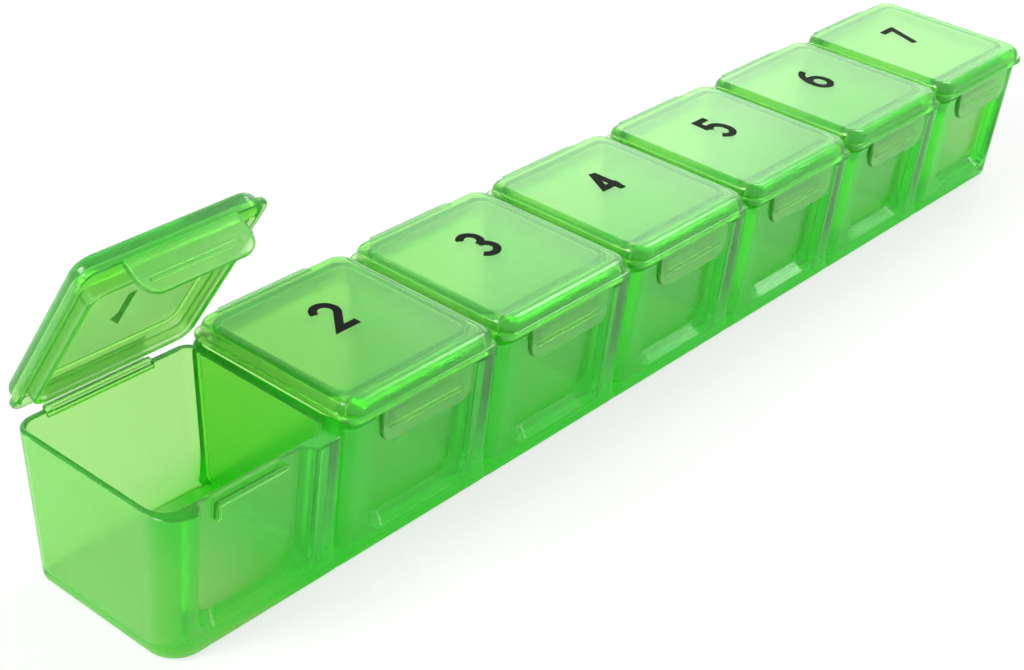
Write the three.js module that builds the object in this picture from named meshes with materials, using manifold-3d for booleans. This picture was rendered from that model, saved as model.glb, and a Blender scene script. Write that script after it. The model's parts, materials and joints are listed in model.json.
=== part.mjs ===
import * as THREE from 'three';
import { mergeVertices } from 'three/addons/utils/BufferGeometryUtils.js';
import Module from 'manifold-3d';

// Weekly pill organizer: a moulded tray of seven cups in a row, each cup with its own
// snap lid on a thin flexing web. Millimetres, +Z up. X runs along the row, -Y is the
// front with the snap tabs, +Y is the hinge side, and the origin is on the tray's
// underside, below the middle of its rim.

// The row as a whole
const CUP_COUNT = 7;
const PITCH = 29.5; // from one cup to the next
const RIM_DEPTH = 30.4; // tray, front to back at the rim
const TRAY_HEIGHT = 22.5; // underside to rim
const FIT_GAP = 0.3; // between pieces that meet
const OPEN_CUP = 0; // the cup whose lid stands open at rest, counted from the left
const OPEN_ANGLE = 58; // degrees
const OVERRUN = 2; // how far a cut runs past the face that it opens
const ROOT_DEPTH = 0.3; // how far a rib or ring is sunk in what carries it

// Tray walls
const FRONT_DRAFT = 1.4; // the front leans in by this from rim to underside
const BACK_DRAFT = 2.1;
const END_DRAFT = 0.55; // at each end of the row
const END_MARGIN = 0.65; // each end stands in from the edge of its cell
const FRONT_CORNER = 4.2; // plan radius of the two front corners
const BACK_CORNER = 3; // plan radius of the two back corners
const BASE_EDGE = 1; // rounding round the underside
const FLOOR = 1.2;
const FRONT_WALL = 2.75; // at the rim, and the recess is cut from it
const BACK_WALL = 1.2;
const END_WALL = 0.85;
const PARTITION = 1.6; // between neighbouring cups, at the rim

// Valleys on the front and back, where the rounded posts of two cups meet
const VALLEY_DEPTH = 1.24;
const POST_RADIUS = 2.4;
const VALLEY_FADE = 7; // height over which a valley runs out towards the underside

// Inside of a cup
const CUP_FRONT_DRAFT = 1.4; // a cup's front leans in by this from rim to underside
const CUP_BACK_DRAFT = 2;
const CUP_SIDE_DRAFT = 0.3; // each face of a partition leans by this
const CUP_CORNER = 3;
const CUP_FLOOR_EDGE = 0.8; // rounding between floor and walls

// Recess in the front of a cup, which the lid's tab hangs in
const RECESS_WALL = 0.8; // what is left between recess and cup
const RECESS_HALF_WIDTH = 9.75; // where it opens on the front
const RECESS_BASE = 3; // its lower edge on the front, above the underside
const RECESS_CORNER = 3.5;
const RECESS_SLOPE = 1.65; // how far its sides and base run in from front to wall
const RECESS_INNER_CORNER = 2.5;

// Catch rib on the recess wall, with a leg down from its left end
const CATCH_DROP = 1.2; // from the rim to the top of the rib
const CATCH_HEIGHT = 0.8;
const CATCH_REACH = 0.7; // how far it stands out from the recess wall
const CATCH_HALF_LENGTH = 5.9;
const CATCH_LEG_WIDTH = 0.8;
const CATCH_LEG_LENGTH = 1.9;

// Ledge behind a cup, and the flexing web that rises from it to the lid
const WEB_HALF_WIDTH = 8.05;
const WEB_THICKNESS = 0.5;
const AXIS_REACH = 0.9; // hinge line behind the lid's back face
const AXIS_RISE = 1.5; // hinge line above the lid's underside
const LEDGE_HEIGHT = 1.4;
const LEDGE_MARGIN = 0.6; // each side of the web
const NOTCH_DEPTH = 1; // cut in the inner edge of the back rim, the web's width
const NOTCH_WIDTH = 0.7; // front to back

// Lid
const LID_OVERHANG = 0.3; // past the tray's rim, front and back
const LID_SPACE = 0.7; // between neighbouring lids
const LID_HEIGHT = 3;
const LID_CORNER = 2.1;
const FLANGE_HEIGHT = 1.1; // lower tier of the lid
const FLANGE_STEP = 0.35; // upper tier stands in by this
const TOP_CORNER = 3;
const TOP_EDGE = 0.9; // rounding round the top
const LID_PLATE = 1.3;
const LID_SKIRT = 1.2;
const SKIRT_CORNER = 1;

// Ring below the lid, which plugs the mouth of the cup
const PLUG_WALL = 0.9;
const PLUG_DROP = 1.3; // below the lid's skirt
const PLUG_SPACE = 0.35; // between ring and cup
const PLUG_CORNER = 2.6;

// Snap tab at the front of the lid, with a bead on its inner side
const TAB_HALF_WIDTH = 8.75;
const TAB_DROP = 5.2; // below the lid's skirt
const TAB_THICKNESS = 0.9;
const TAB_CORNER = 2.5;
const TAB_STEP = 0.05; // tab stands in from the lid's front face
const BEAD_RADIUS = 0.45;
const BEAD_RISE = 2.1; // bead's middle above the tab's free edge
const BEAD_HALF_LENGTH = 7;

// Printed number on a lid
const INK_THICKNESS = 0.2;
const NUMERAL_HEIGHT = 7.5;
const NUMERAL_WIDTH = 4.6;
const NUMERAL_STROKE = 1.25;
const NUMERAL_SETBACK = 2.7; // behind the middle of the lid

// Steps of the rounded shapes
const CORNER_STEPS = 4;
const EDGE_STEPS = 3;
const POST_STEPS = 4;
const FADE_STEPS = 4;
const BEAD_SIDES = 10;
const STROKE_STEPS = 8;

// Heights and places that follow from the sizes above
const lidBase = TRAY_HEIGHT + FIT_GAP;
const lidTop = lidBase + LID_HEIGHT;
const plateBase = lidTop - LID_PLATE;
const plugBase = lidBase - PLUG_DROP;
const lidBackY = RIM_DEPTH / 2 + LID_OVERHANG;
const axisY = lidBackY + AXIS_REACH;
const axisZ = lidBase + AXIS_RISE;
const rowHalf = (CUP_COUNT * PITCH) / 2;
const seamX = (seam) => seam * PITCH - rowHalf;
const cupX = (cup) => (seamX(cup) + seamX(cup + 1)) / 2;

// How far the drafted walls have leaned in at height z, as a share of their draft.
const leanShare = (z) => 1 - z / TRAY_HEIGHT;
const frontY = (z) => FRONT_DRAFT * leanShare(z) - RIM_DEPTH / 2;
const backY = (z) => RIM_DEPTH / 2 - BACK_DRAFT * leanShare(z);
const endX = (z) => rowHalf - END_MARGIN - END_DRAFT * leanShare(z);
const cupFrontY = (z) => FRONT_WALL - RIM_DEPTH / 2 + CUP_FRONT_DRAFT * leanShare(z);
const cupBackY = (z) => RIM_DEPTH / 2 - BACK_WALL - CUP_BACK_DRAFT * leanShare(z);
const recessY = (z) => cupFrontY(z) - RECESS_WALL;

const wasm = await Module();
wasm.setup();

// A closed mesh as a solid that can be joined and cut.
function solid(geometry) {
  const bare = geometry.clone();
  bare.deleteAttribute('normal');
  bare.deleteAttribute('uv');
  const merged = mergeVertices(bare);
  const vertProperties = new Float32Array(merged.attributes.position.array);
  const triVerts = new Uint32Array(merged.index.array);
  return new wasm.Manifold(new wasm.Mesh({ numProp: 3, vertProperties, triVerts }));
}

// The skin of a solid as a geometry that a mesh can show.
function skin(body) {
  const { vertProperties, triVerts } = body.getMesh();
  const geometry = new THREE.BufferGeometry();
  geometry.setAttribute('position', new THREE.BufferAttribute(vertProperties, 3));
  geometry.setIndex(new THREE.BufferAttribute(triVerts, 1));
  geometry.computeVertexNormals();
  return geometry;
}

const fromAbove = (p) => new THREE.Vector2(p.x, p.y);
const fromFront = (p) => new THREE.Vector2(p.x, p.z);

// Triangles that close a ring, turned to face the viewer of the flattened view.
function capFaces(ring, flatten) {
  const points = ring.map(flatten);
  return THREE.ShapeUtils.triangulateShape(points, []).map(([a, b, c]) => {
    const area = THREE.ShapeUtils.area([points[a], points[b], points[c]]);
    return area > 0 ? [a, b, c] : [a, c, b];
  });
}

// Solid inside a stack of rings, each with as many points as the next. The rings run
// counter-clockwise in the flattened view, and the stack rises towards its viewer.
function loft(rings, flatten = fromAbove) {
  const count = rings[0].length;
  const last = (rings.length - 1) * count;
  const faces = [];
  for (let base = 0; base < last; base += count) {
    for (let i = 0; i < count; i++) {
      const a = base + i;
      const b = base + ((i + 1) % count);
      faces.push([a, b, b + count], [a, b + count, a + count]);
    }
  }
  capFaces(rings[0], flatten).forEach(([a, b, c]) => faces.push([a, c, b]));
  capFaces(rings.at(-1), flatten).forEach((face) => faces.push(face.map((i) => i + last)));
  const geometry = new THREE.BufferGeometry().setFromPoints(rings.flat());
  geometry.setIndex(faces.flat());
  return solid(geometry);
}

// Points of a quarter circle, which starts at the given number of quarter turns.
function quarter(x, y, radius, start) {
  const from = (start * Math.PI) / 2;
  const arc = new THREE.EllipseCurve(x, y, radius, radius, from, from + Math.PI / 2);
  return arc.getPoints(CORNER_STEPS);
}

// Rectangle with rounded corners at height z, counter-clockwise from its front left.
function roundedRing({ left, right, front, back }, radius, z) {
  return [
    ...quarter(left + radius, front + radius, radius, 2),
    ...quarter(right - radius, front + radius, radius, 3),
    ...quarter(right - radius, back - radius, radius, 0),
    ...quarter(left + radius, back - radius, radius, 1),
  ].map((p) => new THREE.Vector3(p.x, p.y, z));
}

// Plate on edge with two rounded lower corners, as a ring of points [x, z] seen from
// the front, which placeY sets at its depth.
function hangingRing(halfWidth, base, top, radius, placeY) {
  return [
    ...quarter(radius - halfWidth, base + radius, radius, 2),
    ...quarter(halfWidth - radius, base + radius, radius, 3),
    new THREE.Vector2(halfWidth, top),
    new THREE.Vector2(-halfWidth, top),
  ].map((p) => new THREE.Vector3(p.x, placeY(p.y), p.y));
}

function shrink({ left, right, front, back }, by) {
  return { left: left + by, right: right - by, front: front + by, back: back - by };
}

// Rise and inset of each step of a quarter round that starts on the flat below it.
function quarterRound(radius) {
  return Array.from({ length: EDGE_STEPS + 1 }, (_, i) => {
    const angle = ((i / EDGE_STEPS) * Math.PI) / 2;
    return { rise: radius * (1 - Math.cos(angle)), inset: radius * (1 - Math.sin(angle)) };
  });
}

// Block between two corners.
function block([x0, y0, z0], [x1, y1, z1]) {
  const box = new THREE.BoxGeometry(x1 - x0, y1 - y0, z1 - z0);
  return solid(box.translate((x0 + x1) / 2, (y0 + y1) / 2, (z0 + z1) / 2));
}

// Outline of the tray at height z, drawn in by the inset of its lower edge. The valleys
// all but run out at the underside.
function trayRing(z, inset) {
  const front = frontY(z) + inset;
  const back = backY(z) - inset;
  const end = endX(z) - inset;
  const depth = THREE.MathUtils.smoothstep(z, -BASE_EDGE, VALLEY_FADE);
  const halfWidth = Math.sqrt(POST_RADIUS ** 2 - (POST_RADIUS - VALLEY_DEPTH) ** 2);
  const wall = (face, inward) => {
    const points = [];
    for (let seam = 1; seam < CUP_COUNT; seam++) {
      for (let step = -POST_STEPS; step <= POST_STEPS; step++) {
        const offset = (halfWidth * step) / POST_STEPS;
        const drop = POST_RADIUS - Math.sqrt(POST_RADIUS ** 2 - (halfWidth - Math.abs(offset)) ** 2);
        points.push(new THREE.Vector2(seamX(seam) + offset, face + inward * depth * drop));
      }
    }
    return points;
  };
  return [
    ...quarter(FRONT_CORNER - end, front + FRONT_CORNER, FRONT_CORNER, 2),
    ...wall(front, 1),
    ...quarter(end - FRONT_CORNER, front + FRONT_CORNER, FRONT_CORNER, 3),
    ...quarter(end - BACK_CORNER, back - BACK_CORNER, BACK_CORNER, 0),
    ...wall(back, -1).reverse(),
    ...quarter(BACK_CORNER - end, back - BACK_CORNER, BACK_CORNER, 1),
  ].map((p) => new THREE.Vector3(p.x, p.y, z));
}

function trayBlank() {
  const edge = quarterRound(BASE_EDGE).map(({ rise, inset }) => trayRing(rise, inset));
  const fade = Array.from({ length: FADE_STEPS }, (_, i) => {
    const share = (i + 1) / FADE_STEPS;
    return trayRing(THREE.MathUtils.lerp(BASE_EDGE, VALLEY_FADE, share), 0);
  });
  return loft([...edge, ...fade, trayRing(TRAY_HEIGHT, 0)]);
}

// Plan of the inside of a cup at height z.
function cupPlan(cup, z) {
  const lean = leanShare(z);
  const partition = PARTITION / 2 + CUP_SIDE_DRAFT * lean;
  return {
    left: cup === 0 ? END_WALL - endX(z) : seamX(cup) + partition,
    right: cup === CUP_COUNT - 1 ? endX(z) - END_WALL : seamX(cup + 1) - partition,
    front: cupFrontY(z),
    back: cupBackY(z),
  };
}

function cupHollow(cup) {
  const floorEdge = quarterRound(CUP_FLOOR_EDGE).map(({ rise, inset }) => {
    const z = FLOOR + rise;
    return roundedRing(shrink(cupPlan(cup, z), inset), CUP_CORNER - inset, z);
  });
  const top = TRAY_HEIGHT + OVERRUN;
  return loft([...floorEdge, roundedRing(cupPlan(cup, top), CUP_CORNER, top)]);
}

function recessHollow(cup) {
  const top = TRAY_HEIGHT + OVERRUN;
  const inner = hangingRing(
    RECESS_HALF_WIDTH - RECESS_SLOPE,
    RECESS_BASE + RECESS_SLOPE,
    top,
    RECESS_INNER_CORNER,
    recessY,
  );
  const mouth = hangingRing(RECESS_HALF_WIDTH, RECESS_BASE, top, RECESS_CORNER, frontY);
  const outer = inner.map((p, i) => p.clone().lerp(mouth[i], 1 + OVERRUN / RECESS_SLOPE));
  return loft([inner, outer], fromFront).translate([cupX(cup), 0, 0]);
}

function catchRib(cup) {
  const top = TRAY_HEIGHT - CATCH_DROP;
  const base = top - CATCH_HEIGHT;
  const left = cupX(cup) - CATCH_HALF_LENGTH;
  const root = recessY(base) + ROOT_DEPTH;
  const tip = recessY(base) - CATCH_REACH;
  const rib = block([left, tip, base], [left + 2 * CATCH_HALF_LENGTH, root, top]);
  const leg = block([left, tip, base - CATCH_LEG_LENGTH], [left + CATCH_LEG_WIDTH, root, top]);
  return rib.add(leg);
}

function hingeLedge(cup) {
  const halfWidth = WEB_HALF_WIDTH + LEDGE_MARGIN;
  const root = backY(TRAY_HEIGHT - LEDGE_HEIGHT) - ROOT_DEPTH;
  const back = axisY - WEB_THICKNESS / 2 - FIT_GAP;
  return block(
    [cupX(cup) - halfWidth, root, TRAY_HEIGHT - LEDGE_HEIGHT],
    [cupX(cup) + halfWidth, back, TRAY_HEIGHT],
  );
}

function hingeNotch(cup) {
  const wall = cupBackY(TRAY_HEIGHT);
  return block(
    [cupX(cup) - WEB_HALF_WIDTH, wall - OVERRUN, TRAY_HEIGHT - NOTCH_DEPTH],
    [cupX(cup) + WEB_HALF_WIDTH, wall + NOTCH_WIDTH, TRAY_HEIGHT + OVERRUN],
  );
}

function trayBody() {
  let body = trayBlank();
  for (let cup = 0; cup < CUP_COUNT; cup++) {
    body = body.subtract(cupHollow(cup));
    body = body.subtract(recessHollow(cup));
    body = body.add(catchRib(cup));
    body = body.add(hingeLedge(cup));
    body = body.subtract(hingeNotch(cup));
  }
  return body;
}

function webBody(cup) {
  return block(
    [cupX(cup) - WEB_HALF_WIDTH, axisY - WEB_THICKNESS / 2, TRAY_HEIGHT - LEDGE_HEIGHT / 2],
    [cupX(cup) + WEB_HALF_WIDTH, axisY + WEB_THICKNESS / 2, axisZ + WEB_THICKNESS / 2],
  );
}

// Two-tier cover of a lid: a lower flange, and an upper tier with a rounded top edge.
function lidShell() {
  const halfWidth = (PITCH - LID_SPACE) / 2;
  const plan = { left: -halfWidth, right: halfWidth, front: -lidBackY, back: lidBackY };
  const tier = shrink(plan, FLANGE_STEP);
  const flangeTop = lidBase + FLANGE_HEIGHT;
  const topEdge = quarterRound(TOP_EDGE).reverse();
  const cover = loft([
    roundedRing(plan, LID_CORNER, lidBase),
    roundedRing(plan, LID_CORNER, flangeTop),
    roundedRing(tier, TOP_CORNER, flangeTop),
    ...topEdge.map(({ rise, inset }) =>
      roundedRing(shrink(tier, inset), TOP_CORNER - inset, lidTop - rise),
    ),
  ]);
  const inside = shrink(plan, LID_SKIRT);
  const hollow = loft([
    roundedRing(inside, SKIRT_CORNER, lidBase - OVERRUN),
    roundedRing(inside, SKIRT_CORNER, plateBase),
  ]);
  return cover.subtract(hollow);
}

// The ring fits the narrowest cup, so that every lid is the same.
function plugRing() {
  const endInset = rowHalf - endX(plugBase) + END_WALL;
  const partitionInset = PARTITION / 2 + CUP_SIDE_DRAFT * leanShare(plugBase);
  const halfWidth = PITCH / 2 - Math.max(endInset, partitionInset) - PLUG_SPACE;
  const plan = {
    left: -halfWidth,
    right: halfWidth,
    front: cupFrontY(plugBase) + PLUG_SPACE,
    back: cupBackY(plugBase) - PLUG_SPACE,
  };
  const inside = shrink(plan, PLUG_WALL);
  const insideCorner = PLUG_CORNER - PLUG_WALL;
  const ring = loft([
    roundedRing(plan, PLUG_CORNER, plugBase),
    roundedRing(plan, PLUG_CORNER, plateBase + ROOT_DEPTH),
  ]);
  const bore = loft([
    roundedRing(inside, insideCorner, plugBase - OVERRUN),
    roundedRing(inside, insideCorner, plateBase + OVERRUN),
  ]);
  return ring.subtract(bore);
}

function snapTab() {
  const outerY = TAB_STEP - lidBackY;
  const innerY = outerY + TAB_THICKNESS;
  const base = lidBase - TAB_DROP;
  const ring = (y) => hangingRing(TAB_HALF_WIDTH, base, lidBase + ROOT_DEPTH, TAB_CORNER, () => y);
  const tab = loft([ring(innerY), ring(outerY)], fromFront);
  const bead = new THREE.CylinderGeometry(BEAD_RADIUS, BEAD_RADIUS, 2 * BEAD_HALF_LENGTH, BEAD_SIDES);
  bead.rotateZ(Math.PI / 2);
  bead.translate(0, innerY, base + BEAD_RISE);
  return tab.add(solid(bead));
}

function lidBody() {
  return lidShell().add(plugRing()).add(snapTab());
}

// Strokes of the digits 0 to 9, in shares of the half width and half height of their
// middle lines. A stroke runs through points [x, y] and arcs [x, y, rx, ry, from, to],
// whose angles are in degrees.
const digitShares = [
  [[[0, 0, 1, 1, 0, 190]], [[0, 0, 1, 1, 180, 370]]],
  [[[-0.5, 0.6], [0.15, 1], [0.15, -1]]],
  [[[0, 0.45, 1, 0.55, 170, -35], [-1, -1], [1, -1]]],
  [[[0, 0.5, 0.9, 0.5, 150, -90]], [[0, -0.5, 1, 0.5, 90, -150]]],
  [[[0.45, -1], [0.45, 1]], [[0.45, 1], [-1, -0.4], [1, -0.4]]],
  [[[0.85, 1], [-0.75, 1], [-0.85, 0.1]], [[0, -0.35, 1, 0.65, 140, -145]]],
  [[[0, -0.4, 1, 0.6, 0, 190]], [[0, -0.4, 1, 0.6, 180, 370]], [[0.9, -0.4, 1.9, 1.4, 180, 95]]],
  [[[-1, 1], [1, 1], [-0.35, -1]]],
  [[[0, 0.5, 0.85, 0.5, 0, 190]], [[0, 0.5, 0.85, 0.5, 180, 370]], [[0, -0.5, 1, 0.5, 0, 190]],
    [[0, -0.5, 1, 0.5, 180, 370]]],
  [[[0, 0.4, 1, 0.6, 0, 190]], [[0, 0.4, 1, 0.6, 180, 370]], [[-0.9, 0.4, 1.9, 1.4, 0, -85]]],
];

// Middle line of a stroke in millimetres.
function strokeLine(parts) {
  const halfWidth = (NUMERAL_WIDTH - NUMERAL_STROKE) / 2;
  const halfHeight = (NUMERAL_HEIGHT - NUMERAL_STROKE) / 2;
  const shares = parts.flatMap(([x, y, rx, ry, from, to]) => {
    if (rx === undefined) return [new THREE.Vector2(x, y)];
    const angles = [from, to].map(THREE.MathUtils.degToRad);
    return new THREE.EllipseCurve(x, y, rx, ry, ...angles, to < from).getPoints(STROKE_STEPS);
  });
  return shares.map((p) => new THREE.Vector2(p.x * halfWidth, p.y * halfHeight));
}

// Flat film of the stroke's width along a line, mitred at its bends.
function strokeFilm(line) {
  const edge = (side) =>
    line.map((point, i) => {
      const before = line[Math.max(i - 1, 0)];
      const after = line[Math.min(i + 1, line.length - 1)];
      const arrive = point.clone().sub(before).normalize();
      const leave = after.clone().sub(point).normalize();
      const along = arrive.clone().add(leave).normalize();
      const widen = i > 0 && i < line.length - 1 ? 1 / along.dot(arrive) : 1;
      const reach = (side * widen * NUMERAL_STROKE) / 2;
      return new THREE.Vector2(point.x - along.y * reach, point.y + along.x * reach);
    });
  const outline = [...edge(-1), ...edge(1).reverse()];
  const base = lidTop + FIT_GAP;
  const ring = (z) => outline.map((p) => new THREE.Vector3(p.x, p.y + NUMERAL_SETBACK, z));
  return loft([ring(base), ring(base + INK_THICKNESS)]);
}

function numeralBody(number) {
  const strokes = digitShares[number % digitShares.length].map(strokeLine).map(strokeFilm);
  return strokes.reduce((digit, stroke) => digit.add(stroke));
}

const GREEN_PLASTIC = { color: '#5fce4c', roughness: 0.25, metalness: 0 };
const LID_PLASTIC = { color: '#7fd86a', roughness: 0.25, metalness: 0 };
const BLACK_INK = { color: '#10140f', roughness: 0.55, metalness: 0 };

function piece(name, body, finish) {
  const mesh = new THREE.Mesh(skin(body), new THREE.MeshStandardMaterial(finish));
  mesh.name = name;
  return mesh;
}

// A lid and its number turn together about the hinge line behind the cup.
function lidOnHinge(cup) {
  const number = cup + 1;
  const hinge = new THREE.Group();
  hinge.position.set(cupX(cup), axisY, axisZ);
  hinge.rotation.x = cup === OPEN_CUP ? -THREE.MathUtils.degToRad(OPEN_ANGLE) : 0;
  const lid = piece(`lid_${number}`, lidBody(), LID_PLASTIC);
  const numeral = piece(`numeral_${number}`, numeralBody(number), BLACK_INK);
  for (const mesh of [lid, numeral]) {
    mesh.position.set(0, -axisY, -axisZ);
    hinge.add(mesh);
  }
  return hinge;
}

const organizer = new THREE.Group();
organizer.add(piece('tray', trayBody(), GREEN_PLASTIC));
for (let cup = 0; cup < CUP_COUNT; cup++) {
  organizer.add(piece(`hinge_web_${cup + 1}`, webBody(cup), GREEN_PLASTIC));
  organizer.add(lidOnHinge(cup));
}

export default organizer;
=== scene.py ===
import json
import math

import bmesh
import bpy
import numpy as np
from mathutils import Matrix, Vector

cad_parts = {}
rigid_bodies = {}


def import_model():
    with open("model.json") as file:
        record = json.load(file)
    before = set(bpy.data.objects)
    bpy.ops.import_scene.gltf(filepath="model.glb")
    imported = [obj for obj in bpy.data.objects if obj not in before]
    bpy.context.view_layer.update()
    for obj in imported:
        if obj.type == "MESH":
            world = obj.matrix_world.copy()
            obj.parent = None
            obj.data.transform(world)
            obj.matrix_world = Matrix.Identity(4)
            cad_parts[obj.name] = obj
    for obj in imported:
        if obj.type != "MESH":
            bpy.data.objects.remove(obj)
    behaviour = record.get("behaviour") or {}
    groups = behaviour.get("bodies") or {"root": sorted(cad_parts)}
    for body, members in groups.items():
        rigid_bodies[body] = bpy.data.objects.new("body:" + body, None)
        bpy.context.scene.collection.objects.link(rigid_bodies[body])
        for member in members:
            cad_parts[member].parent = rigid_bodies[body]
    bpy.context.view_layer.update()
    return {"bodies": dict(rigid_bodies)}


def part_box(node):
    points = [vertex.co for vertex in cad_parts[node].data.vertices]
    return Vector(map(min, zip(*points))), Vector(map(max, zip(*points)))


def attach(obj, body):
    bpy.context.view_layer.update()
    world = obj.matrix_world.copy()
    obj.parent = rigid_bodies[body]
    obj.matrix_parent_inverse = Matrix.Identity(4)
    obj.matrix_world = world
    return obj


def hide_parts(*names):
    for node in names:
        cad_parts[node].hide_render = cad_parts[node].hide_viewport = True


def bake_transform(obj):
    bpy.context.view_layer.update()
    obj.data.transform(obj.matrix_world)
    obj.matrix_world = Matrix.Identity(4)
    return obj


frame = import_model()


# Tray: the long moulding with seven cups.
# Injection-moulded polypropylene, tinted green all through and see-through. Its outside
# is a drafted box whose front and back dip in a valley between every two cups, and every
# edge has the small round that the mould leaves.

mm = 0.001
tray_low, tray_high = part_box("tray")
cup_count = sum(name.startswith("lid_") for name in frame["bodies"])
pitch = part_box("lid_3")[0].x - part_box("lid_2")[0].x
row_half = cup_count * pitch / 2
tray_height = tray_high.z
rim_half = -tray_low.y
end_x = tray_high.x

front_draft = 1.4 * mm
back_draft = 2.1 * mm
end_draft = 0.55 * mm
front_corner = 4.2 * mm
back_corner = 3.0 * mm
base_edge = 1.0 * mm
rim_edge = 0.37 * mm
valley_depth = 1.24 * mm
post_radius = 2.4 * mm
valley_fade = 7.0 * mm

floor_thickness = 1.2 * mm
front_wall = 2.75 * mm
back_wall = 1.2 * mm
end_wall = 0.85 * mm
partition = 1.6 * mm
cup_front_draft = 1.4 * mm
cup_back_draft = 2.0 * mm
cup_side_draft = 0.3 * mm
cup_front_corner = 3.0 * mm
cup_back_corner = 1.5 * mm
cup_floor_edge = 0.8 * mm
overrun = 2.0 * mm
corner_steps = 10
valley_steps = 24


def lean(z):
    """Share of the draft taken in at height z: one at the underside, none at the rim."""
    return 1 - z / tray_height


def quarter_turn(steps):
    """Sine and cosine of evenly spaced angles from nought to a right angle."""
    angle = np.linspace(0, math.pi / 2, steps + 1)
    return np.sin(angle), np.cos(angle)


def rounded_plan(left, right, front, back, radii):
    """Rectangle with rounded corners, counter-clockwise from its front left. A corner is
    a quarter circle about the point one radius in from both of its sides. radii are
    those of the front left, front right, back right and back left."""
    s, c = quarter_turn(corner_steps)
    a, b, d, e = radii
    x = [left + a * (1 - c), right - b * (1 - s), right - d * (1 - c), left + e * (1 - s)]
    y = [front + a * (1 - s), front + b * (1 - c), back - d * (1 - s), back - e * (1 - c)]
    return np.column_stack([np.concatenate(x), np.concatenate(y)])


def at_height(plan, z):
    """Points of a plan, all at height z."""
    return np.column_stack([plan, np.full(len(plan), z)])


def skin(name, rings, ladder=False):
    """Closed surface through a stack of rings with equal numbers of points: four-sided
    faces between neighbouring rings and a flat face at either end. A ladder closes the
    ends with rungs between the left and right halves of a ring instead."""
    stack = np.array(rings)
    levels, count = stack.shape[:2]
    here = np.arange(count)
    base = np.arange(levels - 1)[:, None] * count
    after = np.roll(here, -1)
    sides = np.stack([base + here, base + after, base + count + after, base + count + here], -1)
    top = (levels - 1) * count
    ends = [here[::-1].tolist(), (here + top).tolist()]
    if ladder:
        rung = here[: count // 2 - 1]
        rungs = np.stack([rung, rung + 1, count - 2 - rung, count - 1 - rung], -1)
        ends = rungs[:, ::-1].tolist() + (rungs + top).tolist()
    mesh = bpy.data.meshes.new(name)
    mesh.from_pydata(stack.reshape(-1, 3), [], sides.reshape(-1, 4).tolist() + ends)
    return mesh


def combine(name, first, *steps):
    """One mesh from the first by joining or cutting others in turn."""
    body = bpy.data.objects.new(name, first)
    bpy.context.scene.collection.objects.link(body)
    helpers = []
    for operation, mesh in steps:
        helper = bpy.data.objects.new(name + "_helper", mesh)
        bpy.context.scene.collection.objects.link(helper)
        modifier = body.modifiers.new(operation, "BOOLEAN")
        modifier.operation = operation
        modifier.solver = "MANIFOLD"
        modifier.object = helper
        helpers.append(helper)
    graph = bpy.context.evaluated_depsgraph_get()
    made = bpy.data.meshes.new_from_object(body.evaluated_get(graph))
    made.name = name
    for helper in [*helpers, body]:
        bpy.data.objects.remove(helper)
    return made


def wall_with_valleys(face, inward, depth):
    """Points of the front or back wall, left to right. Rounded posts of one radius stand
    on both sides of every seam, so at a distance d from it the valley is as deep as the
    radius less the root of radius squared less half width less d squared."""
    half_width = math.sqrt(post_radius**2 - (post_radius - valley_depth) ** 2)
    offset = np.linspace(-half_width, half_width, valley_steps + 1)
    drop = post_radius - np.sqrt(post_radius**2 - (half_width - np.abs(offset)) ** 2)
    seams = np.arange(1, cup_count) * pitch - row_half
    x = (seams[:, None] + offset).ravel()
    y = face + inward * depth * np.tile(drop, cup_count - 1)
    return np.column_stack([x, y])


def tray_ring(z, inset):
    """Outline of the tray at height z, drawn in by inset. The valleys grow with height
    by the smooth step three t squared less two t cubed."""
    front = -rim_half + front_draft * lean(z) + inset
    back = rim_half - back_draft * lean(z) - inset
    end = end_x - end_draft * lean(z) - inset
    t = min((z + base_edge) / (valley_fade + base_edge), 1)
    depth = t * t * (3 - 2 * t)
    radii = [front_corner, front_corner, back_corner, back_corner]
    corners = np.split(rounded_plan(-end, end, front, back, radii), 4)
    front_wall_line = wall_with_valleys(front, 1, depth)
    back_wall_line = wall_with_valleys(back, -1, depth)[::-1]
    outline = [corners[0], front_wall_line, corners[1], corners[2], back_wall_line, corners[3]]
    return at_height(np.concatenate(outline), z)


def tray_blank():
    """The tray before its cups: a rounded lower edge, the height over which the valleys
    grow, straight drafted walls, and a rounded rim."""
    s, c = quarter_turn(6)
    low = [tray_ring(base_edge * (1 - b), base_edge * (1 - a)) for a, b in zip(s, c)]
    middle = [tray_ring(z, 0) for z in np.linspace(base_edge, valley_fade, 13)[1:]]
    s, c = quarter_turn(4)
    edge = rim_edge
    rim = [tray_ring(tray_height - edge * (1 - a), edge * (1 - b)) for a, b in zip(s, c)]
    return skin("tray_blank", low + middle + rim)


def cup_plan(cup, z, inset):
    """Inside of a cup at height z as left, right, front and back, drawn in by inset."""
    end = end_x - end_draft * lean(z) - end_wall
    half_partition = partition / 2 + cup_side_draft * lean(z)
    left = -end if cup == 0 else cup * pitch - row_half + half_partition
    right = end if cup == cup_count - 1 else (cup + 1) * pitch - row_half - half_partition
    front = -rim_half + front_wall + cup_front_draft * lean(z)
    back = rim_half - back_wall - cup_back_draft * lean(z)
    return left + inset, right - inset, front + inset, back - inset


def cup_ring(cup, z, inset):
    """Outline of a cup's inside at height z, rounded more in front than at the back."""
    front, back = cup_front_corner - inset, cup_back_corner - inset
    return at_height(rounded_plan(*cup_plan(cup, z, inset), [front, front, back, back]), z)


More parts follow.
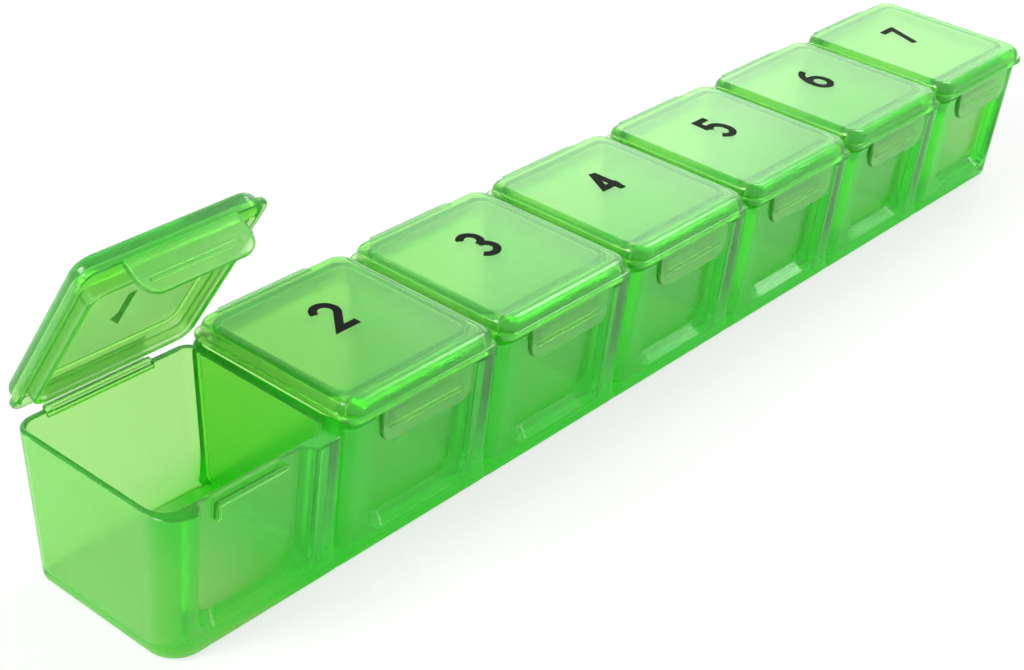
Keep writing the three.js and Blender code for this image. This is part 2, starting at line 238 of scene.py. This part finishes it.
def cup_hollow(cup):
    """Cutter of one cup: a rounded floor edge, drafted walls and a mouth that widens by
    the rim's round."""
    s, c = quarter_turn(6)
    edge = cup_floor_edge
    low = [cup_ring(cup, floor_thickness + edge * (1 - b), edge * (1 - a)) for a, b in zip(s, c)]
    s, c = quarter_turn(4)
    edge = rim_edge
    mouth = [cup_ring(cup, tray_height - edge * (1 - a), -edge * (1 - b)) for a, b in zip(s, c)]
    top = at_height(mouth[-1][:, :2], tray_height + overrun)
    return skin("cup_hollow", [*low, *mouth, top])


# The recess in front of a cup is where the lid's tab hangs. Its sides and base slope in
# to a thin panel that is one wall with the cup.

recess_wall = 0.8 * mm
recess_half_width = 9.75 * mm
recess_base = 3.0 * mm
recess_corner = 3.5 * mm
recess_slope = 1.65 * mm
recess_inner_corner = 2.5 * mm
recess_edge = 0.5 * mm


def hanging_plan(half_width, base, heights, radius):
    """Plate on edge with two rounded lower corners, as points x, z counter-clockwise
    from its upper left when seen from the front. heights are those up its straight
    sides, and each is met once on the left and once on the right."""
    s, c = quarter_turn(corner_steps)
    side_x = np.concatenate([np.full(len(heights), half_width), half_width - radius * (1 - c)])
    side_z = np.concatenate([heights[::-1], base + radius * (1 - s)])
    x = np.concatenate([-side_x, side_x[::-1]])
    z = np.concatenate([side_z, side_z[::-1]])
    return x, z


def recess_hollow(cup):
    """Cutter of one recess, from its panel outwards. It follows a profile of inset
    against depth below the front: a round off the panel, the slope, and a round on to
    the front. At the rim it widens by the rim's round."""
    depth = front_wall - recess_wall
    turn = math.pi / 2 - math.atan2(recess_slope, depth)
    tangent = recess_edge * math.tan(turn / 2)
    inner = np.linspace(0, turn, 5)
    outer = np.linspace(turn, turn / 8, 5)
    profile = [
        *zip(
            recess_slope + tangent - recess_edge * np.sin(inner),
            depth - recess_edge * (1 - np.cos(inner)),
        ),
        *zip(recess_edge * np.sin(outer) - tangent, recess_edge * (1 - np.cos(outer))),
    ]
    inset, down = profile[-1]
    profile.append((inset - recess_edge, down - recess_edge * math.tan(turn / 8)))
    profile.append((inset - recess_edge, -overrun))
    s, c = quarter_turn(4)
    heights = np.concatenate([tray_height - rim_edge * (1 - s), [tray_height + overrun]])
    centre = (cup + 0.5) * pitch - row_half
    rings = []
    for inset, down in profile:
        radius = recess_corner + (recess_inner_corner - recess_corner) * inset / recess_slope
        x, z = hanging_plan(recess_half_width - inset, recess_base + inset, heights, radius)
        over = np.clip(z - tray_height + rim_edge, 0, rim_edge)
        widen = rim_edge - np.sqrt(rim_edge**2 - over**2)
        y = -rim_half + front_draft * lean(z) + down + widen * (down > depth / 2)
        rings.append(np.column_stack([centre + x + np.sign(x) * widen, y, z]))
    return skin("recess_hollow", rings, ladder=True)


# A catch rib in every recess holds the tab's bead. Behind the cup, a ledge and a notch
# in the rim seat the hinge strap. Both are moulded with the tray.

catch_drop = 1.2 * mm
catch_height = 0.8 * mm
catch_reach = 0.7 * mm
catch_half_length = 5.9 * mm
catch_leg_width = 0.8 * mm
catch_leg_length = 1.9 * mm
ledge_height = 1.4 * mm
ledge_half_width = 8.65 * mm
ledge_back = 15.85 * mm
notch_half_width = 8.05 * mm
notch_depth = 0.25 * mm
notch_width = 0.7 * mm
root_depth = 0.3 * mm
fitting_edge = 0.2 * mm


def soft_block(low, high, edge):
    """Block between two corners with its edges rounded."""
    low, high = Vector(low), Vector(high)
    build = bmesh.new()
    bmesh.ops.create_cube(build, size=1)
    bmesh.ops.scale(build, vec=high - low, verts=build.verts)
    bmesh.ops.translate(build, vec=(low + high) / 2, verts=build.verts)
    bmesh.ops.bevel(
        build, geom=build.edges[:], offset=edge, segments=3, profile=0.5, affect="EDGES"
    )
    mesh = bpy.data.meshes.new("soft_block")
    build.to_mesh(mesh)
    build.free()
    return mesh


def front_fittings(cup):
    """Catch rib and its short leg."""
    left = (cup + 0.5) * pitch - row_half - catch_half_length
    top = tray_height - catch_drop
    base = top - catch_height
    panel = -rim_half + front_wall - recess_wall + front_draft * lean(base)
    tip, root = panel - catch_reach, panel + root_depth
    rib = soft_block((left, tip, base), (left + 2 * catch_half_length, root, top), fitting_edge)
    leg_base = base - catch_leg_length
    leg = soft_block((left, tip, leg_base), (left + catch_leg_width, root, top), fitting_edge)
    return ("UNION", rib), ("UNION", leg)


def back_fittings(cup):
    """Hinge ledge, and the notch in the rim in front of it."""
    centre = (cup + 0.5) * pitch - row_half
    root = rim_half - back_draft * lean(tray_height - ledge_height) - root_depth
    wall = rim_half - back_wall
    ledge = soft_block(
        (centre - ledge_half_width, root, tray_height - ledge_height),
        (centre + ledge_half_width, ledge_back, tray_height),
        fitting_edge,
    )
    notch = soft_block(
        (centre - notch_half_width, wall - overrun, tray_height - notch_depth),
        (centre + notch_half_width, wall + notch_width, tray_height + overrun),
        fitting_edge,
    )
    return ("UNION", ledge), ("DIFFERENCE", notch)


def tray_mesh():
    """The blank with a cup, a recess and their fittings cut or joined for every cup."""
    steps = []
    for cup in range(cup_count):
        steps += [("DIFFERENCE", cup_hollow(cup)), ("DIFFERENCE", recess_hollow(cup))]
        steps += [*front_fittings(cup), *back_fittings(cup)]
    return combine("tray_moulding", tray_blank(), *steps)


def colour(code):
    """Linear RGBA of an sRGB hex code."""
    parts = [int(code[i : i + 2], 16) / 255 for i in (1, 3, 5)]
    return (*[p / 12.92 if p <= 0.04045 else ((p + 0.055) / 1.055) ** 2.4 for p in parts], 1)


def add(material, kind, settings=(), **inputs):
    """Adds a node. settings are its own properties; inputs are values or sockets of
    other nodes, by the name of the input with underscores for spaces, or by an
    underscore and its place in the list."""
    node = material.node_tree.nodes.new("ShaderNode" + kind)
    for key, value in dict(settings).items():
        setattr(node, key, value)
    for key, value in inputs.items():
        label = int(key[1:]) if key[1:].isdigit() else key.replace("_", " ")
        socket = node.inputs[label]
        if isinstance(value, bpy.types.NodeSocket):
            material.node_tree.links.new(value, socket)
        else:
            socket.default_value = value
    return node


def new_material(name):
    """Material with an empty node tree."""
    material = bpy.data.materials.new(name)
    material.use_nodes = True
    material.node_tree.nodes.clear()
    return material


cloud_size = 11 * mm
wear_size = 4 * mm
ripple_size = 2.2 * mm
ripple_depth = 0.008 * mm
haze_spread = 0.02
gloss_spread = 0.03


def polypropylene(name, milk, clear, tint, density, rough, haze_share):
    """Moulded polypropylene, see-through and a little milky. Part of the light passes
    softened and is tinted by the thickness it crosses, so a thin wall is pale and a thick
    edge a full green. The rest scatters in the milk, whose share wanders over about a
    centimetre. The skin is a satin gloss with the faint ripple of a moulding."""
    material = new_material(name)
    spot = add(material, "TexCoord").outputs["Object"]
    cloud = add(material, "TexNoise", Vector=spot, Scale=1 / cloud_size, Detail=3.0, Roughness=0.5)
    share = add(
        material,
        "MapRange",
        Value=cloud.outputs["Fac"],
        From_Min=0.3,
        From_Max=0.7,
        To_Min=haze_share - haze_spread,
        To_Max=haze_share + haze_spread,
    )
    shade = add(material, "ValToRGB", Fac=cloud.outputs["Fac"])
    shade.color_ramp.elements[0].position = 0.3
    shade.color_ramp.elements[0].color = colour(milk[0])
    shade.color_ramp.elements[1].position = 0.7
    shade.color_ramp.elements[1].color = colour(milk[1])
    wear = add(material, "TexNoise", Vector=spot, Scale=1 / wear_size, Detail=2.0)
    gloss = add(
        material,
        "MapRange",
        Value=wear.outputs["Fac"],
        To_Min=rough - gloss_spread,
        To_Max=rough + gloss_spread,
    )
    ripple = add(material, "TexNoise", Vector=spot, Scale=1 / ripple_size, Detail=2.0)
    bump = add(
        material,
        "Bump",
        Height=ripple.outputs["Fac"],
        Strength=0.25,
        Distance=ripple_depth,
    )
    body = add(
        material,
        "BsdfPrincipled",
        Base_Color=colour(clear),
        Roughness=gloss.outputs["Result"],
        Normal=bump.outputs["Normal"],
        IOR=1.49,
        Transmission_Weight=1.0,
    )
    haze = add(material, "BsdfDiffuse", Color=shade.outputs["Color"])
    surface = add(
        material,
        "MixShader",
        _0=share.outputs["Result"],
        _1=body.outputs["BSDF"],
        _2=haze.outputs["BSDF"],
    )
    inside = add(material, "VolumeAbsorption", Color=colour(tint), Density=density)
    add(
        material,
        "OutputMaterial",
        Surface=surface.outputs["Shader"],
        Volume=inside.outputs["Volume"],
    )
    return material


sharp_angle = 35


def place(name, mesh, material):
    """Object at the origin with smooth shading that breaks at sharp edges."""
    mesh.materials.clear()
    mesh.materials.append(material)
    mesh.shade_smooth()
    mesh.set_sharp_from_angle(angle=math.radians(sharp_angle))
    obj = bpy.data.objects.new(name, mesh)
    bpy.context.scene.collection.objects.link(obj)
    even = obj.modifiers.new("even_normals", "WEIGHTED_NORMAL")
    even.keep_sharp = True
    return obj


tray_plastic = polypropylene(
    "moulded_polypropylene_tray",
    milk=("#70e868", "#8cf082"),
    clear="#fff5ff",
    tint="#beff64",
    density=980,
    rough=0.17,
    haze_share=0.12,
)
tray = place("tray_moulding", tray_mesh(), tray_plastic)
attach(tray, "tray")
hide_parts("tray")


# Lids: one snap lid over each cup.
# The same polypropylene, moulded thinner and a little paler. A rounded plate stands on a
# wider flange, a ring under it plugs the cup, and a tab with a bead on its inner side
# hangs in front. The first lid is open.

lid_space = 0.7 * mm
lid_overhang = 0.3 * mm
fit_gap = 0.3 * mm
lid_height = 3.0 * mm
lid_corner = 2.1 * mm
flange_height = 1.1 * mm
flange_step = 0.35 * mm
flange_edge = 0.4 * mm
top_corner = 3.0 * mm
top_edge = 1.4 * mm
lid_plate = 1.3 * mm
lid_skirt = 1.2 * mm
lid_front_skirt = 3.0 * mm
skirt_corner = 1.0 * mm
skirt_edge = 0.4 * mm
plug_wall = 0.9 * mm
plug_space = 0.35 * mm
plug_corner = 2.6 * mm
plug_edge = 0.3 * mm
plug_bottom = 21.5 * mm
tab_half_width = 8.75 * mm
tab_drop = 5.2 * mm
tab_thickness = 0.9 * mm
tab_corner = 2.5 * mm
tab_step = 0.05 * mm
tab_edge = 0.25 * mm
bead_radius = 0.45 * mm
bead_rise = 2.1 * mm
bead_half_length = 7.0 * mm
open_angle = 58
axis_reach = 0.9 * mm
axis_rise = 1.5 * mm

lid_base = tray_height + fit_gap
lid_top = lid_base + lid_height
plate_base = lid_top - lid_plate
lid_half_width = (pitch - lid_space) / 2
lid_half_depth = rim_half + lid_overhang
hinge_y = lid_half_depth + axis_reach
hinge_z = lid_base + axis_rise


def plan_ring(plan, radius, z, inset=0):
    """Rounded rectangle given as left, right, front and back, drawn in and at height z."""
    left, right, front, back = plan
    inset_plan = (left + inset, right - inset, front + inset, back - inset)
    return at_height(rounded_plan(*inset_plan, [radius - inset] * 4), z)


def drawn_in(plan, step):
    """The plan with all four sides drawn in by a step."""
    left, right, front, back = plan
    return left + step, right - step, front + step, back - step


def lower_round(plan, radius, base, edge, steps):
    """Rings of a quarter circle from a base up to the plan's full width."""
    s, c = quarter_turn(steps)
    return [plan_ring(plan, radius, base + edge * (1 - b), edge * (1 - a)) for a, b in zip(s, c)]


def upper_round(plan, radius, top, edge, steps):
    """Rings of a quarter circle from the plan's full width up to a top."""
    s, c = quarter_turn(steps)
    return [plan_ring(plan, radius, top - edge * (1 - a), edge * (1 - b)) for a, b in zip(s, c)]


def lid_shell():
    """Outside of a lid: a flange rounded above and below, and on it the narrower plate
    with its broad upper round."""
    plan = (-lid_half_width, lid_half_width, -lid_half_depth, lid_half_depth)
    flange_top = lid_base + flange_height
    tier = drawn_in(plan, flange_step)
    rings = [
        *lower_round(plan, lid_corner, lid_base, flange_edge, 3),
        *upper_round(plan, lid_corner, flange_top, flange_edge, 3),
        plan_ring(tier, top_corner, flange_top),
        *upper_round(tier, top_corner, lid_top, top_edge, 8),
    ]
    return skin("lid_shell", rings)


def lid_hollow():
    """Cutter of the hollow under the plate, between the skirt and the plug ring."""
    plan = (
        lid_skirt - lid_half_width,
        lid_half_width - lid_skirt,
        lid_front_skirt - lid_half_depth,
        lid_half_depth - lid_skirt,
    )
    rings = [
        plan_ring(plan, skirt_corner, lid_base - overrun),
        *upper_round(plan, skirt_corner, plate_base, skirt_edge, 4),
    ]
    return skin("lid_hollow", rings)


def plug_plan():
    """The ring fits the narrowest cup, so every lid is the same."""
    end_inset = row_half - end_x + end_draft * lean(plug_bottom) + end_wall
    side_inset = partition / 2 + cup_side_draft * lean(plug_bottom)
    half_width = pitch / 2 - max(end_inset, side_inset) - plug_space
    cup = cup_plan(1, plug_bottom, plug_space)
    return -half_width, half_width, cup[2], cup[3]


def plug_ring():
    """Outside of the plug, rounded at its lower edge and rooted in the plate."""
    plan = plug_plan()
    rings = [
        *lower_round(plan, plug_corner, plug_bottom, plug_edge, 3),
        plan_ring(plan, plug_corner, plate_base + root_depth),
    ]
    return skin("plug_ring", rings)


def plug_bore():
    """Cutter of the plug's inside, wider at the mouth by the round of its edge."""
    inside = drawn_in(plug_plan(), plug_wall)
    corner = plug_corner - plug_wall
    s, c = quarter_turn(3)
    mouth = zip(plug_bottom + plug_edge * (1 - s[::-1]), -plug_edge * (1 - c[::-1]))
    rings = [
        plan_ring(inside, corner, plug_bottom - overrun, -plug_edge),
        *[plan_ring(inside, corner, z, inset) for z, inset in mouth],
        *upper_round(inside, corner, plate_base, skirt_edge, 4),
    ]
    return skin("plug_bore", rings)


def snap_tab():
    """Plate on edge whose outline draws in towards both faces by a quarter circle."""
    outer = tab_step - lid_half_depth
    base = lid_base - tab_drop
    s, c = quarter_turn(3)
    inset = tab_edge * (1 - s)
    depth = tab_edge * (1 - c)
    levels = [*zip(inset, tab_thickness - depth), *zip(inset[::-1], depth[::-1])]
    heights = np.array([base + 2 * tab_corner, lid_base + root_depth])
    rings = []
    for inset, depth in levels:
        x, z = hanging_plan(tab_half_width - inset, base + inset, heights, tab_corner - inset)
        rings.append(np.column_stack([x, np.full(len(x), outer + depth), z]))
    return skin("snap_tab", rings, ladder=True)


def bead():
    """Capsule along x: rings whose radius follows a half circle at both ends."""
    s, c = quarter_turn(5)
    cap = bead_radius - bead_half_length - c[1:] * bead_radius
    swell = s[1:] * bead_radius
    angle = np.linspace(0, 2 * math.pi, 16, endpoint=False)
    y0 = tab_step - lid_half_depth + tab_thickness
    z0 = lid_base - tab_drop + bead_rise
    rings = [
        np.column_stack([np.full(16, x), y0 + r * np.cos(angle), z0 + r * np.sin(angle)])
        for x, r in zip([*cap, *-cap[::-1]], [*swell, *swell[::-1]])
    ]
    return skin("bead", rings)


def lid_mesh():
    """One closed lid over the middle of the row."""
    return combine(
        "snap_lid",
        lid_shell(),
        ("DIFFERENCE", lid_hollow()),
        ("UNION", combine("plug", plug_ring(), ("DIFFERENCE", plug_bore()))),
        ("UNION", snap_tab()),
        ("UNION", bead()),
    )


def turned(points, degrees):
    """Points x, y, z turned about the hinge line, opening a lid by an angle."""
    a = np.radians(degrees)
    dy, dz = points[..., 1] - hinge_y, points[..., 2] - hinge_z
    y = hinge_y + dy * np.cos(a) + dz * np.sin(a)
    z = hinge_z - dy * np.sin(a) + dz * np.cos(a)
    return np.stack([points[..., 0], y, z], -1)


def on_cup(mesh, cup):
    """Copy of a mesh made over the middle of the row, moved to a cup and opened with it."""
    points = np.empty(len(mesh.vertices) * 3)
    mesh.vertices.foreach_get("co", points)
    points = points.reshape(-1, 3) + [(cup + 0.5) * pitch - row_half, 0, 0]
    copy = mesh.copy()
    copy.vertices.foreach_set("co", turned(points, open_angle if cup == 0 else 0).ravel())
    return copy


lid_plastic = polypropylene(
    "moulded_polypropylene_lid",
    milk=("#78e070", "#98ea8e"),
    clear="#fff6ff",
    tint="#c4ff6e",
    density=830,
    rough=0.2,
    haze_share=0.14,
)
one_lid = lid_mesh()
for cup in range(cup_count):
    number = cup + 1
    lid = place(f"snap_lid_{number}", on_cup(one_lid, cup), lid_plastic)
    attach(lid, f"lid_{number}")
    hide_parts(f"lid_{number}")


# Hinge straps: the thin living hinge behind each cup.
# A flexing web of the same polypropylene, whitened a little and thinned where it folds.
# It leaves the ledge, rises behind the rim and ends in the back edge of the lid, bent to
# the angle at which its lid stands.

strap_half_width = 8.05 * mm
strap_thickness = 0.3 * mm
strap_root = 0.25 * mm
strap_drop = 0.6 * mm
strap_bend = 1.0 * mm
strap_seat = 0.2 * mm
strap_lift = 0.15 * mm
fold_thinning = 0.4
fold_reach = 0.35 * mm
flexed_plastic = polypropylene(
    "flexed_polypropylene_hinge",
    milk=("#7cec74", "#98f48e"),
    clear="#fff8ff",
    tint="#c0ff6c",
    density=700,
    rough=0.3,
    haze_share=0.26,
)


def strap_mesh(cup):
    """Band swept along a bent line from the ledge, through the hinge line, to the lid.
    Its thickness thins towards the fold by a bell curve. The part past the fold is
    turned with its lid."""
    angle = open_angle if cup == 0 else 0
    t = np.linspace(0, 1, 9)
    quarter = t * math.pi / 2
    start = ledge_back - strap_root
    tray_part = np.column_stack([
        start + (hinge_y - start) * np.sin(quarter),
        tray_height - strap_drop + strap_bend * (1 - np.cos(quarter)),
    ])
    rise = np.linspace(tray_part[-1, 1], hinge_z, 6)[1:-1]
    upright = np.column_stack([np.full(len(rise), hinge_y), rise])
    back = lid_half_depth - strap_seat
    lid_y = np.linspace(hinge_y, back, 8)
    lid_z = hinge_z + strap_lift * np.sin((hinge_y - lid_y) / (hinge_y - back) * math.pi / 2)
    lid_part = turned(np.column_stack([np.zeros(8), lid_y, lid_z]), angle)[:, 1:]
    line = np.concatenate([tray_part, upright, lid_part])
    along = np.gradient(line, axis=0)
    along /= np.linalg.norm(along, axis=1)[:, None]
    normal = np.column_stack([along[:, 1], -along[:, 0]])
    far = np.linalg.norm(line - [hinge_y, hinge_z], axis=1)
    thinning = fold_thinning * np.exp(-((far / fold_reach) ** 2))
    half = strap_thickness / 2 * (1 - thinning)[:, None]
    centre = (cup + 0.5) * pitch - row_half
    rings = []
    for side in (-1, 1):
        x = np.full(len(line), centre + side * strap_half_width)
        outer, inner = line + normal * half, line - normal * half
        rings.append(np.concatenate([
            np.column_stack([x, outer[:, 0], outer[:, 1]]),
            np.column_stack([x, inner[:, 0], inner[:, 1]])[::-1],
        ]))
    return skin("hinge_strap", rings, ladder=True)


for cup in range(cup_count):
    number = cup + 1
    strap = place(f"hinge_strap_{number}", strap_mesh(cup), flexed_plastic)
    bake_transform(strap)
    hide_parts(f"hinge_web_{number}")


# Numbers: one printed on each lid.
# A thin film of black pad-printing ink on the moulded plate, satin and faintly mottled. A
# digit is one or more strokes, and a stroke is a row of points and arcs.

ink_thickness = 0.04 * mm
numeral_height = 7.5 * mm
numeral_width = 4.6 * mm
numeral_stroke = 1.25 * mm
numeral_setback = 2.7 * mm
grain_size = 0.9 * mm

digits = {
    1: [[(-0.5, 0.6), (0.15, 1), (0.15, -1)]],
    2: [[(0, 0.45, 1, 0.55, 170, -35), (-1, -1), (1, -1)]],
    3: [[(0, 0.5, 0.9, 0.5, 150, -90)], [(0, -0.5, 1, 0.5, 90, -150)]],
    4: [[(0.45, -1), (0.45, 1)], [(0.45, 1), (-1, -0.4), (1, -0.4)]],
    5: [[(0.85, 1), (-0.75, 1), (-0.85, 0.1)], [(0, -0.35, 1, 0.65, 140, -145)]],
    6: [[(0, -0.4, 1, 0.6, 0, 190)], [(0, -0.4, 1, 0.6, 180, 370)], [(0.9, -0.4, 1.9, 1.4, 180, 95)]],
    7: [[(-1, 1), (1, 1), (-0.35, -1)]],
}


def stroke_line(parts):
    """Middle line of a stroke: points x, y and arcs x, y, rx, ry, from, to, all in shares
    of the digit's half width and half height."""
    line = []
    for part in parts:
        if len(part) == 2:
            line.append(np.array([part]))
            continue
        x, y, rx, ry, start, end = part
        a = np.radians(np.linspace(start, end, 33))
        line.append(np.column_stack([x + rx * np.cos(a), y + ry * np.sin(a)]))
    half = np.array([numeral_width - numeral_stroke, numeral_height - numeral_stroke]) / 2
    return np.concatenate(line) * half


def stroke_film(parts):
    """Flat film of the stroke's width on both sides of its line, mitred at the bends."""
    line = stroke_line(parts)
    leg = np.diff(line, axis=0)
    leg /= np.linalg.norm(leg, axis=1)[:, None]
    arrive, leave = np.vstack([leg[:1], leg]), np.vstack([leg, leg[-1:]])
    along = arrive + leave
    along /= np.linalg.norm(along, axis=1)[:, None]
    reach = numeral_stroke / 2 / np.sum(along * arrive, axis=1)[:, None]
    side = np.column_stack([-along[:, 1], along[:, 0]]) * reach
    outline = np.concatenate([line - side, (line + side)[::-1]]) + [0, numeral_setback]
    base = lid_top + ink_thickness / 4
    faces = [at_height(outline, base), at_height(outline, base + ink_thickness)]
    return skin("stroke", faces, ladder=True)


def printing_ink():
    """Pad-printing ink: near black, satin, with a mottled gloss on the scale of the pad's
    grain."""
    material = new_material("printed_black_ink")
    spot = add(material, "TexCoord").outputs["Object"]
    grain = add(material, "TexNoise", Vector=spot, Scale=1 / grain_size, Detail=3.0)
    shade = add(material, "ValToRGB", Fac=grain.outputs["Fac"])
    shade.color_ramp.elements[0].color = colour("#040604")
    shade.color_ramp.elements[1].color = colour("#0c100c")
    gloss = add(material, "MapRange", Value=grain.outputs["Fac"], To_Min=0.5, To_Max=0.65)
    surface = add(
        material,
        "BsdfPrincipled",
        Base_Color=shade.outputs["Color"],
        Roughness=gloss.outputs["Result"],
        Specular_IOR_Level=0.05,
    )
    add(material, "OutputMaterial", Surface=surface.outputs["BSDF"])
    return material


ink = printing_ink()
for cup in range(cup_count):
    number = cup + 1
    films = [stroke_film(parts) for parts in digits[number]]
    digit = combine("digit", films[0], *[("UNION", film) for film in films[1:]])
    numeral = place(f"printed_number_{number}", on_cup(digit, cup), ink)
    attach(numeral, f"lid_{number}")
    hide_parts(f"numeral_{number}")


# Floor, light and camera: a white paper table in a white tent, seen as in the photograph.
# Soft boxes stand round the row and a narrow strip in front of it. The paper sends more
# light to the camera than to the object, so it shows white. Rays that the plastic
# reflects or lets through find it painted green under the closed cups: a painted glow
# that stands in for the green light that the cups throw on it.

floor_half = 3.0
seen_share = 0.72
passed_share = 0.34
lighting_strength = 0.45
# Extent of the painted green glow on the paper under the closed cups.
glow_start = 14 * mm
glow_full = 4 * mm
glow_outside = 6 * mm
glow_inside = 4 * mm
paper_grain = 30 * mm

floor_mesh = bpy.data.meshes.new("studio_floor")
floor_corners = [(-floor_half, -floor_half, 0), (floor_half, -floor_half, 0)]
floor_corners += [(floor_half, floor_half, 0), (-floor_half, floor_half, 0)]
floor_mesh.from_pydata(floor_corners, [], [(0, 1, 2, 3)])
floor_paper = new_material("white_paper")
paper_place = add(floor_paper, "TexCoord").outputs["Object"]
paper_noise = add(floor_paper, "TexNoise", Vector=paper_place, Scale=1 / paper_grain)
paper_shade = add(floor_paper, "ValToRGB", Fac=paper_noise.outputs["Fac"])
paper_shade.color_ramp.elements[0].color = colour("#f7f7f7")
paper_shade.color_ramp.elements[1].color = colour("#fbfbfb")
paper_surface = add(
    floor_paper,
    "BsdfPrincipled",
    Base_Color=paper_shade.outputs["Color"],
    Roughness=0.9,
)
paper_path = add(floor_paper, "LightPath")
paper_direct = add(
    floor_paper,
    "MapRange",
    Value=paper_path.outputs["Is Camera Ray"],
    To_Min=0.0,
    To_Max=seen_share,
)
paper_bounced = add(
    floor_paper,
    "Math",
    {"operation": "MAXIMUM"},
    _0=paper_path.outputs["Is Glossy Ray"],
    _1=paper_path.outputs["Is Transmission Ray"],
)
paper_behind = add(
    floor_paper,
    "MapRange",
    Value=paper_bounced.outputs[0],
    To_Min=0.0,
    To_Max=passed_share,
)
paper_share = add(
    floor_paper,
    "Math",
    {"operation": "MAXIMUM"},
    _0=paper_direct.outputs["Result"],
    _1=paper_behind.outputs["Result"],
)
paper_spot = add(floor_paper, "SeparateXYZ", Vector=paper_place)
under_row = add(
    floor_paper,
    "MapRange",
    Value=paper_spot.outputs["X"],
    From_Min=pitch - row_half - glow_start,
    From_Max=pitch - row_half - glow_full,
)
paper_side = add(floor_paper, "Math", {"operation": "ABSOLUTE"}, _0=paper_spot.outputs["Y"])
under_cups = add(
    floor_paper,
    "MapRange",
    Value=paper_side.outputs[0],
    From_Min=rim_half + glow_outside,
    From_Max=rim_half - glow_inside,
)
under_tray = add(
    floor_paper,
    "Math",
    {"operation": "MULTIPLY"},
    _0=under_row.outputs["Result"],
    _1=under_cups.outputs["Result"],
)
# Painted light: where the paper lies under the closed cups and a glossy or transmission ray meets it,
# it takes the painted green glow.
painted_glow_mask = add(
    floor_paper,
    "Math",
    {"operation": "MULTIPLY"},
    _0=under_tray.outputs[0],
    _1=paper_bounced.outputs[0],
)
# Painted glow: the paper's emission is white away from the cups and painted green under the closed
# cups.
painted_glow_colour = add(floor_paper, "ValToRGB", Fac=painted_glow_mask.outputs[0])
painted_glow_colour.color_ramp.elements[0].color = (1, 1, 1, 1)
painted_glow_colour.color_ramp.elements[1].color = colour("#60ff50")
paper_white_and_painted_glow = add(floor_paper, "Emission", Color=painted_glow_colour.outputs["Color"], Strength=1.0)
paper_mix = add(
    floor_paper,
    "MixShader",
    Fac=paper_share.outputs[0],
    _1=paper_surface.outputs["BSDF"],
    _2=paper_white_and_painted_glow.outputs["Emission"],
)
add(floor_paper, "OutputMaterial", Surface=paper_mix.outputs["Shader"])
floor_mesh.materials.append(floor_paper)
studio_floor = bpy.data.objects.new("studio_floor", floor_mesh)
bpy.context.scene.collection.objects.link(studio_floor)

world = bpy.data.worlds.new("white_tent")
world.use_nodes = True
world.node_tree.nodes.clear()
path = add(world, "LightPath")
open_view = add(
    world,
    "Math",
    {"operation": "MAXIMUM"},
    _0=path.outputs["Is Camera Ray"],
    _1=path.outputs["Is Glossy Ray"],
)
seen = add(
    world,
    "Math",
    {"operation": "MAXIMUM"},
    _0=open_view.outputs[0],
    _1=path.outputs["Is Transmission Ray"],
)
strength = add(world, "MapRange", Value=seen.outputs[0], To_Min=lighting_strength, To_Max=1.0)
tent = add(world, "Background", Color=(1, 1, 1, 1), Strength=strength.outputs["Result"])
add(world, "OutputWorld", Surface=tent.outputs["Background"])
bpy.context.scene.world = world


def soft_lamp(name, location, width, height, energy):
    """Rectangular softbox that faces the middle of the object."""
    data = bpy.data.lights.new(name, "AREA")
    data.shape = "RECTANGLE"
    data.size = width
    data.size_y = height
    data.energy = energy
    lamp = bpy.data.objects.new(name, data)
    lamp.location = location
    lamp.rotation_euler = (-lamp.location).to_track_quat("-Z", "Y").to_euler()
    bpy.context.scene.collection.objects.link(lamp)


soft_lamp("key_softbox", (-0.65, 0.18, 0.5), width=0.3, height=0.3, energy=4.8)
soft_lamp("side_softbox", (0.62, 0.0, 0.68), width=0.45, height=0.22, energy=3.0)
soft_lamp("back_softbox", (0.85, 0.5, 0.36), width=0.7, height=0.3, energy=1.2)
soft_lamp("far_softbox", (0.6, 0.45, 0.42), width=0.22, height=0.25, energy=0.22)
soft_lamp("front_strip", (0.72, -0.62, 0.52), width=0.5, height=0.07, energy=0.9)

camera_data = bpy.data.cameras.new("camera")
camera_data.sensor_width = 36
camera_data.lens = 68.947
camera_data.clip_start = 0.01
camera = bpy.data.objects.new("camera", camera_data)
eye = (-0.2206, -0.15663, 0.16151)
forward = Vector((0.66991, 0.53219, -0.51769)).normalized()
right = Vector((0.6514, -0.7559, 0.0659))
right = (right - right.dot(forward) * forward).normalized()
up = right.cross(forward)
turn = Matrix((right, up, -forward)).transposed().to_4x4()
camera.matrix_world = Matrix.Translation(eye) @ turn
bpy.context.scene.collection.objects.link(camera)
bpy.context.scene.camera = camera
bpy.context.scene.view_settings.view_transform = "Standard"
